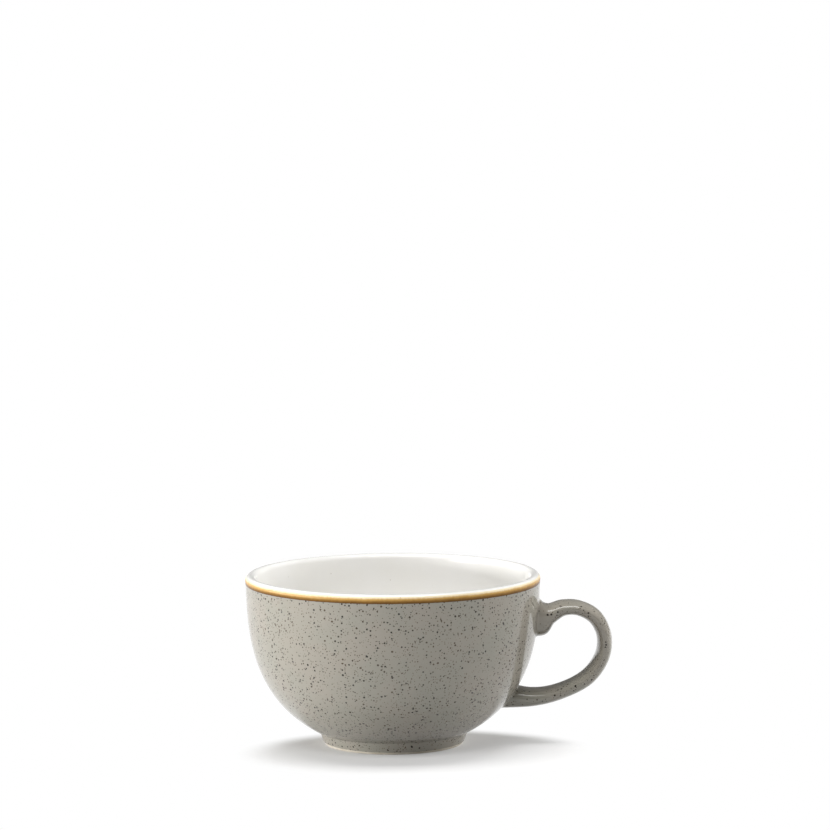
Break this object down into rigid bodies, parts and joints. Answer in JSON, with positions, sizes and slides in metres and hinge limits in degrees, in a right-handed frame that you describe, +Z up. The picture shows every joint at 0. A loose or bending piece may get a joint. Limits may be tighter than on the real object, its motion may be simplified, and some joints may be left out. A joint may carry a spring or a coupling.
{
  "type": "cappuccino cup",
  "caption": "Wide round stoneware cup on a tapered foot ring, with a looped strap handle, speckled grey glaze outside, white inside and a brown rim, for hot milky coffee.",
  "frame": {"origin": "centre of the resting ring of the foot, on the axis of the bowl, in the plane of the table", "axes": "+Z up along the axis of the bowl, +X from the axis towards the handle"},
  "size_m": [0.1392, 0.112, 0.065],
  "materials": {
    "clay": "matte",
    "speckled_glaze": "glossy",
    "white_glaze": "glossy",
    "brown_glaze": "glossy"
  },
  "bodies": {
    "root": {"bowl": "clay", "foot_ring": "clay", "handle": "clay", "upper_slip_joint": "clay", "lower_slip_joint": "clay", "outside_glaze": "speckled_glaze", "inside_glaze": "white_glaze", "rim_band": "brown_glaze", "handle_glaze": "speckled_glaze", "underside_glaze": "speckled_glaze"}
  },
  "joints": []
}
